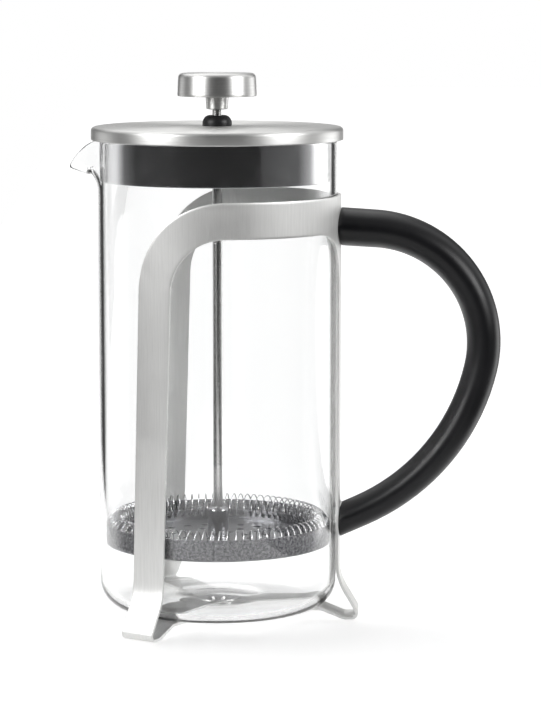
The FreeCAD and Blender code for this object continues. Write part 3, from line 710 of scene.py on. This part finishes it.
def rounded(corners, closed):
    """An outline of (radius, height, rounding) corners in mm, with each rounding as an arc."""
    outline = []
    count = len(corners)
    for number, (across, up, bend) in enumerate(corners):
        spot = Vector((across, up))
        if bend == 0 or (not closed and number in (0, count - 1)):
            outline.append(spot)
            continue
        before = (Vector(corners[number - 1][:2]) - spot).normalized()
        after = (Vector(corners[(number + 1) % count][:2]) - spot).normalized()
        half = before.angle(after) / 2
        centre = spot + (before + after).normalized() * (bend / math.sin(half))
        first = spot + before * (bend / math.tan(half)) - centre
        last = spot + after * (bend / math.tan(half)) - centre
        steps = 7
        for step in range(steps + 1):
            share = step / steps
            swing = first.lerp(last, share).normalized() * bend
            outline.append(centre + swing)
    return outline


def turned_piece(name, corners, closed=True, around=160, sharp=32):
    """An outline turned round the Z axis; the grain runs round the piece."""
    outline = [spot * MM for spot in rounded(corners, closed)]
    sheet = bmesh.new()
    grain = sheet.loops.layers.uv.verify()
    lines = []
    for step in range(around):
        angle = math.pi / 2 + 2 * math.pi * step / around
        lines.append([sheet.verts.new((spot[0] * math.cos(angle), spot[0] * math.sin(angle), spot[1]))
                      for spot in outline])
    runs = [0.0]
    for start, end in zip(outline, outline[1:] + outline[:1]):
        runs.append(runs[-1] + (end - start).length / MM)
    wide = max(spot[0] for spot in outline) / MM * 2 * math.pi / around
    last = len(outline) if closed else len(outline) - 1
    for step in range(around):
        one, other = lines[step], lines[(step + 1) % around]
        for row in range(last):
            after = (row + 1) % len(outline)
            face = sheet.faces.new((one[row], other[row], other[after], one[after]))
            places = ((row, step), (row, step + 1), (row + 1, step + 1), (row + 1, step))
            for loop, (place, turn) in zip(face.loops, places):
                loop[grain].uv = (runs[place], turn * wide)
    bmesh.ops.remove_doubles(sheet, verts=sheet.verts, dist=0.001 * MM)
    bmesh.ops.dissolve_degenerate(sheet, edges=sheet.edges, dist=0.0005 * MM)
    return finish_mesh(name, sheet, sharp)


def in_mm(node):
    """Lowest height, highest height and greatest radius of a node, in millimetres."""
    low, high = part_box(node)
    return low[2] / MM, high[2] / MM, high[1] / MM


skirt, top, reach = in_mm("lid_cap")
sheet_gauge, hem_gauge, hem_wide, lid_hole = 0.8, 0.7, 2, 4.1
lid_cap = turned_piece("lid_cap_satin", [
    (lid_hole, top - sheet_gauge, 0), (lid_hole, top, 0), (reach - 3.4, top, 4),
    (reach, top - 0.35, 1.7), (reach, skirt, 0.45), (reach - hem_wide, skirt, 0.3),
    (reach - hem_wide, skirt + hem_gauge, 0), (reach - sheet_gauge, skirt + hem_gauge, 0),
    (reach - sheet_gauge, top - sheet_gauge, 0.7)])
lid_steel = brushed_steel("steel_brushed_round", (0.52, 0.52, 0.51), (0.68, 0.68, 0.67),
                          0.38, 0.48, 5.0, 60.0, 0.6)
give(lid_cap, lid_steel, "lid", "steel", "lid_cap")

# ---- Lid collar -----------------------------------------------------------------
# A bright drawn sleeve that centres the lid in the glass. Its flange is held by the
# cap's hem and rests on the rim, and its lower edge is curled smooth.

collar_bottom, collar_top, flange_reach = in_mm("lid_collar")
collar_reach, collar_gauge, flange_gauge = 45.2, 0.6, 0.8
collar = turned_piece("lid_collar_bright", [
    (collar_reach - collar_gauge, collar_bottom, 0.28), (collar_reach, collar_bottom, 0.28),
    (collar_reach, collar_top - flange_gauge, 0.3), (flange_reach, collar_top - flange_gauge, 0.2),
    (flange_reach, collar_top, 0.2), (collar_reach - collar_gauge, collar_top, 0.6)])
mirror_steel = polished_steel("steel_bright", (0.60, 0.60, 0.61), (0.66, 0.66, 0.67), 0.05, 0.09)
give(collar, mirror_steel, "lid", "polished_steel", "lid_collar")

# ---- Lid bush and its ring ---------------------------------------------------------
# A black nylon bush snapped into the lid's hole, with a domed head that the rod
# slides through, held from inside by a push-on steel ring.

bush_bottom, bush_top, bush_reach = in_mm("lid_bush")
rod_bore, stem_reach, head_bottom = 2.05, 4.05, 199.55
dome_start, dome_round, dome_step = 200.4, 2.9, 6
dome = [(bush_reach - dome_round * (1 - math.cos(math.radians(turn))),
         dome_start + (bush_top - dome_start) * math.sin(math.radians(turn)), 0)
        for turn in range(0, 91, dome_step)]
bush = turned_piece("lid_bush_nylon", [
    (rod_bore, bush_bottom, 0), (stem_reach, bush_bottom, 0.2), (stem_reach, head_bottom, 0),
    (bush_reach, head_bottom, 0.2), *dome, (rod_bore, bush_top, 0.5)], around=72)
bush_nylon = moulded_plastic("nylon_black", (0.007, 0.007, 0.008), (0.012, 0.012, 0.013), 0.42, 3000.0)
give(bush, bush_nylon, "bush", "black_plastic", "lid_bush")
refinish("bush_ring", turned_steel)

# ---- Knob -------------------------------------------------------------------------
# A drawn steel cap, brushed round, closed from below by a turned plate whose neck
# is tapped for the rod. The wall widens a little towards the lower edge.

knob_low, knob_high, knob_reach = in_mm("knob_cap")
knob_gauge, plate_gauge, thread_reach, boss_reach = 0.8, 1.5, 2.02, 4.5
knob_cap = turned_piece("knob_cap_satin", [
    (0, knob_high - knob_gauge, 0), (knob_reach - 1.4, knob_high - knob_gauge, 1.2),
    (knob_reach - 0.85, knob_low + 0.1, 0), (knob_reach - 0.1, knob_low, 0.3),
    (knob_reach, knob_low + 0.9, 0.8), (knob_reach - 0.45, knob_high - 0.1, 1.9),
    (0, knob_high, 0)], closed=False, around=128)
knob_steel = brushed_steel("steel_brushed_knob", (0.54, 0.54, 0.53), (0.72, 0.72, 0.71),
                           0.34, 0.44, 6.0, 40.0, 0.6)
give(knob_cap, knob_steel, "plunger", "steel", "knob_cap")
neck_low, boss_high, plate_reach = in_mm("knob_base")
knob_base = turned_piece("knob_base_turned", [
    (thread_reach, neck_low, 0.1), (4.3, neck_low, 0.5), (4.62, knob_low - 0.2, 0.2),
    (plate_reach, knob_low + 0.05, 0.1), (plate_reach, knob_low + plate_gauge, 0),
    (boss_reach, knob_low + plate_gauge, 0), (boss_reach, boss_high, 0),
    (thread_reach, boss_high, 0)], around=96)
give(knob_base, knob_steel, "plunger", "steel", "knob_base")

# ---- Plunger rod and hub -------------------------------------------------------------
# A ground 4 mm steel rod, threaded at both ends, and the turned hub that spaces the
# filter from it. The hub has a soft shoulder, and a groove above its foot flange.

rod_low, rod_high, rod_reach = in_mm("plunger_rod")
rod = turned_piece("plunger_rod_ground", [
    (0, rod_low, 0), (rod_reach, rod_low, 0.4), (rod_reach, rod_high, 0.4), (0, rod_high, 0)],
    closed=False, around=48)
ground_steel = polished_steel("steel_ground", (0.62, 0.62, 0.62), (0.72, 0.72, 0.71), 0.16, 0.26)
give(rod, ground_steel, "plunger", "polished_steel", "plunger_rod")
hub_low, hub_high, hub_foot = in_mm("hub_sleeve")
hub_reach = 4.15
hub_bore = rod_reach + 0.02
groove_low, groove_high, groove_deep = 32.8, 33.2, 0.5
hub = turned_piece("hub_turned", [
    (hub_bore, hub_low, 0), (hub_foot, hub_low, 0.15), (hub_foot, groove_low, 0.2),
    (hub_reach - groove_deep, groove_low, 0.05), (hub_reach - groove_deep, groove_high, 0.05),
    (hub_reach, groove_high, 0.15), (hub_reach, hub_high - 0.5, 1.2),
    (hub_reach - 1.4, hub_high, 0.5), (hub_bore, hub_high - 0.3, 0)], around=72)
# painted shade: a darker copy of the turned steel, for the hub's place in the middle of the filter
hub_steel = polished_steel("steel_turned_painted_shade", (0.30, 0.30, 0.31), (0.40, 0.40, 0.41), 0.08, 0.14)
give(hub, hub_steel, "plunger", "polished_steel", "hub_sleeve")

# ---- Filter: pressed plate, edge spring, woven mesh, cross plate and nut ----------------
# The perforated plate's lip carries a coil spring that presses the woven mesh
# against the glass. The cross plate and its nut clamp the mesh from below.

# painted shade: the pressed steel's base colour is made far darker than the other steel, for the shade
# the filter's plate, cross plate and nut sit in low in the glass
filter_steel_painted_shade = polished_steel("steel_pressed_painted_shade", (0.20, 0.20, 0.21), (0.32, 0.32, 0.33), 0.24, 0.34)
wire_steel = polished_steel("steel_wire", (0.48, 0.48, 0.49), (0.60, 0.60, 0.61), 0.2, 0.3)
for filter_node in ("spiral_plate", "cross_plate", "cross_nut"):
    refinish(filter_node, filter_steel_painted_shade)


def build_spring():
    """One wire wound round and round, through a hole in the lip at each turn."""
    turns, steps, sides = 87, 22, 7
    ring, middle = 41.6 * MM, 38.5 * MM
    coil, tall = 3.2 * MM, 4.3 * MM
    wire = 0.25 * MM
    most_lean = 0.16
    chance = random.Random(11)
    leans = [chance.uniform(-most_lean, most_lean) for _ in range(turns + 1)]
    total = (turns - 1) * steps

    def place(step):
        """A point on the wire's middle line; each turn leans a little its own way."""
        turn = step / steps
        whole = min(turns, int(turn))
        swing = 2 * math.pi * turn - math.pi / 2
        lean = leans[whole] * math.sin(math.pi * (turn - whole)) ** 2
        angle = 2 * math.pi * (turn + lean * 0.5) / turns
        out = ring + coil * math.cos(swing)
        return Vector((out * math.cos(angle), out * math.sin(angle), middle + tall * math.sin(swing)))

    sheet = bmesh.new()
    grain = sheet.loops.layers.uv.verify()
    lines = []
    for step in range(total + 1):
        spot = place(step)
        along = (place(step + 0.5) - place(step - 0.5)).normalized()
        hub_way = Vector((spot.x, spot.y, 0)).normalized()
        side = along.cross(hub_way.cross(Vector((0, 0, 1)))).normalized()
        other = along.cross(side)
        lines.append([sheet.verts.new(spot + (side * math.cos(turn) + other * math.sin(turn)) * wire)
                      for turn in (2 * math.pi * number / sides for number in range(sides))])
    for number, (upper, lower) in enumerate(zip(lines, lines[1:])):
        for column in range(sides):
            after = (column + 1) % sides
            face = sheet.faces.new((upper[column], upper[after], lower[after], lower[column]))
            for loop, (across, along) in zip(face.loops, ((0, 0), (1, 0), (1, 1), (0, 1))):
                loop[grain].uv = (column + across, number + along)
    sheet.faces.new(lines[0])
    sheet.faces.new(lines[-1])
    return finish_mesh("filter_spring_wire", sheet, sharp=80)


give(build_spring(), wire_steel, "plunger", "polished_steel", "filter_spring")


def make_woven_wire():
    """Plain weave of round wires: how much of the surface is wire, and its relief."""
    group, source, result = new_group(
        "woven_wire", [("Place", "NodeSocketVector", None), ("Pitch", "NodeSocketFloat", 0.4)],
        [("Wire", "NodeSocketFloat"), ("Relief", "NodeSocketFloat")])
    split = add_node(group, "ShaderNodeSeparateXYZ")
    group.links.new(source.outputs["Place"], split.inputs[0])
    waves = []
    for axis in (0, 1):
        turn = reckon(group, "MULTIPLY",
                      reckon(group, "DIVIDE", split.outputs[axis], source.outputs["Pitch"]), math.pi)
        waves.append(reckon(group, "ABSOLUTE", reckon(group, "SINE", turn, 0.0), 0.0))
    relief = reckon(group, "MAXIMUM", waves[0], waves[1])
    edge = add_node(group, "ShaderNodeMapRange", From_Min=0.72, From_Max=0.8)
    group.links.new(relief, edge.inputs["Value"])
    group.links.new(edge.outputs["Result"], result.inputs["Wire"])
    group.links.new(relief, result.inputs["Relief"])
    return group


def woven_mesh(name):
    """Fine stainless wire cloth: open between its wires, with darker and brighter specks."""
    material, tree, shader = new_material(name, Metallic=1.0)
    place = add_node(tree, "ShaderNodeUVMap", uv_map="grain")
    weave = add_group(tree, make_woven_wire(), Pitch=0.42)
    tree.links.new(place.outputs["UV"], weave.inputs["Place"])
    mottle = add_node(tree, "ShaderNodeTexNoise", Scale=0.9, Detail=5.0, Roughness=0.75)
    tree.links.new(place.outputs["UV"], mottle.inputs["Vector"])
    speckle = add_node(tree, "ShaderNodeMapRange", From_Min=0.38, From_Max=0.62)
    tree.links.new(mottle.outputs["Fac"], speckle.inputs["Value"])
    tree.links.new(blend_colours(tree, speckle.outputs["Result"], (0.04, 0.04, 0.05),
                                 (0.40, 0.40, 0.41)), shader.inputs["Base Color"])
    tree.links.new(spread(tree, mottle.outputs["Fac"], 0.3, 0.5), shader.inputs["Roughness"])
    tree.links.new(weave.outputs["Wire"], shader.inputs["Alpha"])
    add_bump(tree, shader, weave.outputs["Relief"], 0.5, 0.06 * MM)
    return material


mesh_low, mesh_high, mesh_reach = in_mm("mesh_screen")
mesh_gauge = 0.3
mesh_hole = rod_reach + 0.05
mesh_cup = turned_piece("mesh_screen_woven", [
    (mesh_hole, mesh_low, 0), (mesh_reach, mesh_low, 1.6), (mesh_reach, mesh_high, 0.14),
    (mesh_reach - mesh_gauge, mesh_high, 0.14), (mesh_reach - mesh_gauge, mesh_low + mesh_gauge, 1.3),
    (mesh_hole, mesh_low + mesh_gauge, 0)], around=180)
give(mesh_cup, woven_mesh("mesh_woven_steel"), "plunger", "mesh", "mesh_screen")

# ---- Floor --------------------------------------------------------------------------
# A plain white sweep under and behind the press, narrower in front than behind, so
# that the sides of the glass see past its edges. It isn't part of the object.

floor_back, floor_front, floor_side, floor_far_side = 6.0, 0.45, 0.15, 0.74
floor_mesh = bpy.data.meshes.new("floor")
floor_mesh.from_pydata([(-floor_side, -floor_front, 0), (floor_side, -floor_front, 0),
                        (floor_far_side, floor_back, 0), (-floor_far_side, floor_back, 0)],
                       [], [(0, 1, 2, 3)])
floor = bpy.data.objects.new("floor", floor_mesh)
bpy.context.scene.collection.objects.link(floor)
floor_paint, floor_tree, floor_shader = new_material("floor_white", Roughness=0.75,
                                                     Specular_IOR_Level=0.2)
floor_noise = add_node(floor_tree, "ShaderNodeTexNoise", Scale=3.0)
floor_tree.links.new(blend_colours(floor_tree, floor_noise.outputs["Fac"], (0.93, 0.93, 0.93),
                                   (0.95, 0.95, 0.95)), floor_shader.inputs["Base Color"])
floor_shader.inputs["Emission Color"].default_value = (1, 1, 1, 1)
floor_shader.inputs["Emission Strength"].default_value = 0.5
floor_mesh.materials.append(floor_paint)

# ---- Light ----------------------------------------------------------------------------
# A white wall behind and a dim room in front, with bright and dark panels round it
# that draw the edges of the glass and the bands on the collar. A wide soft light
# hangs overhead, and a soft box in front on either side lights the brushed steel.

world = bpy.data.worlds.new("studio")
world.use_nodes = True
bpy.context.scene.world = world
sky = world.node_tree
backdrop = sky.nodes["Background"]
backdrop.inputs["Color"].default_value = (1, 1, 1, 1)
direction = add_node(sky, "ShaderNodeTexCoord")
camera_turn = math.radians(3.95)
parts = []
for toward in ((math.cos(camera_turn), math.sin(camera_turn), 0),
               (math.sin(camera_turn), -math.cos(camera_turn), 0)):
    part = add_node(sky, "ShaderNodeVectorMath", operation="DOT_PRODUCT")
    sky.links.new(direction.outputs["Generated"], part.inputs[0])
    part.inputs[1].default_value = toward
    parts.append(part.outputs["Value"])
bearing = reckon(sky, "DEGREES", reckon(sky, "ARCTAN2", parts[0], parts[1]), 0.0)
share = add_node(sky, "ShaderNodeMapRange", From_Min=-180.0, From_Max=180.0)
sky.links.new(bearing, share.inputs["Value"])
# how bright the room is from the camera's side (0) round to the wall behind (180)
room_plan = [(-180, 1.0), (-162, 1.0), (-159, 0.05), (-146, 0.05), (-136, 1.0), (-120, 1.2),
             (-106, 0.2), (-88, 0.05), (0, 0.03), (42, 0.03), (46, 0.09), (88, 0.15), (106, 0.6),
             (120, 2.6), (136, 2.2), (146, 0.05), (159, 0.05), (162, 1.0), (180, 1.0)]
# the same as seen straight through the glass, where two dark flags draw its edges
glass_plan = [(-180, 1.0), (-164, 1.0), (-159, 0.18), (-140, 0.18), (-128, 1.0), (128, 1.0),
              (140, 0.18), (159, 0.18), (164, 1.0), (180, 1.0)]


def round_the_room(plan):
    """Brightness by bearing, from a plan of (bearing in degrees, brightness) stops."""
    ramp = add_node(sky, "ShaderNodeValToRGB")
    stops = ramp.color_ramp.elements
    while len(stops) < len(plan):
        stops.new(0.5)
    for stop, (turn, glow) in zip(stops, plan):
        stop.position = (turn + 180) / 360
        stop.color = (glow, glow, glow, 1)
    sky.links.new(share.outputs["Result"], ramp.inputs["Fac"])
    return ramp.outputs["Color"]


height_split = add_node(sky, "ShaderNodeSeparateXYZ")
sky.links.new(direction.outputs["Generated"], height_split.inputs[0])


def faded(source, start, end, first, last):
    """A smooth change from first to last as the source goes from start to end."""
    node = add_node(sky, "ShaderNodeMapRange", interpolation_type="SMOOTHSTEP",
                    From_Min=start, From_Max=end, To_Min=first, To_Max=last)
    sky.links.new(source, node.inputs["Value"])
    return node.outputs["Result"]


lower_walls = faded(height_split.outputs["Z"], 0.0, 0.12, 1.0, 0.42)
ceiling = faded(height_split.outputs["Z"], 0.35, 0.8, 0.0, 0.4)
all_light = reckon(sky, "ADD", reckon(sky, "MULTIPLY", round_the_room(room_plan), lower_walls), ceiling)
seen = add_node(sky, "ShaderNodeLightPath")
bounced = reckon(sky, "ADD", seen.outputs["Glossy Depth"], seen.outputs["Diffuse Depth"])
straight = reckon(sky, "MULTIPLY", seen.outputs["Is Transmission Ray"],
                  reckon(sky, "LESS_THAN", bounced, 0.5))
through_glass = add_node(sky, "ShaderNodeMix", data_type="FLOAT")
sky.links.new(straight, through_glass.inputs["Factor"])
sky.links.new(all_light, through_glass.inputs["A"])
sky.links.new(round_the_room(glass_plan), through_glass.inputs["B"])
plain_for_camera = add_node(sky, "ShaderNodeMix", data_type="FLOAT")
plain_for_camera.inputs["B"].default_value = 1.0
sky.links.new(seen.outputs["Is Camera Ray"], plain_for_camera.inputs["Factor"])
sky.links.new(through_glass.outputs["Result"], plain_for_camera.inputs["A"])
sky.links.new(plain_for_camera.outputs["Result"], backdrop.inputs["Strength"])


def soft_box(name, place, aim, wide, high, power):
    """A rectangular soft box that faces a point."""
    lamp = bpy.data.lights.new(name, "AREA")
    lamp.shape = "RECTANGLE"
    lamp.size = wide
    lamp.size_y = high
    lamp.energy = power
    holder = bpy.data.objects.new(name, lamp)
    holder.location = place
    holder.rotation_euler = (Vector(aim) - Vector(place)).to_track_quat("-Z", "Y").to_euler()
    bpy.context.scene.collection.objects.link(holder)
    return holder


box_reach, box_height, box_wide, box_high = 1.3, 0.68, 0.8, 0.6
box_aim = (0, 0, 0.1)
object_only = bpy.data.collections.new("not_the_floor")
object_only.objects.link(floor)
object_only.collection_objects[0].light_linking.link_state = "EXCLUDE"
for box_name, box_turn, box_power in (("front_left_box", -56, 17), ("front_right_box", 64, 15)):
    # the turn is measured from the camera's side, round to the right
    bearing_angle = math.radians(box_turn - 90) + camera_turn
    spot = (box_reach * math.cos(bearing_angle), box_reach * math.sin(bearing_angle), box_height)
    front_box = soft_box(box_name, spot, box_aim, box_wide, box_high, box_power)
    front_box.light_linking.receiver_collection = object_only
overhead = bpy.data.lights.new("overhead", "SUN")
overhead.energy = 0.9
overhead.angle = math.radians(60)
overhead_holder = bpy.data.objects.new("overhead", overhead)
overhead_holder.rotation_euler = (math.radians(-30), math.radians(-16), 0)
bpy.context.scene.collection.objects.link(overhead_holder)

# ---- Camera ---------------------------------------------------------------------------
# A long lens a little above the lid, slightly round towards the handle, on a plain
# view transform so that whites stay white.

camera_distance, camera_height = 1.1188, 0.2545
camera_dip = math.radians(7.611)
camera_aside = math.radians(1.092)
camera = bpy.data.objects.new("camera", bpy.data.cameras.new("camera"))
camera.location = (camera_distance * math.sin(camera_turn), -camera_distance * math.cos(camera_turn),
                   camera_height)
camera.rotation_euler = (math.pi / 2 - camera_dip, 0, camera_turn - camera_aside)
camera.data.sensor_fit = "VERTICAL"
camera.data.sensor_height = 36
camera.data.lens = 139.6
bpy.context.scene.collection.objects.link(camera)
bpy.context.scene.camera = camera
bpy.context.scene.view_settings.view_transform = "Standard"
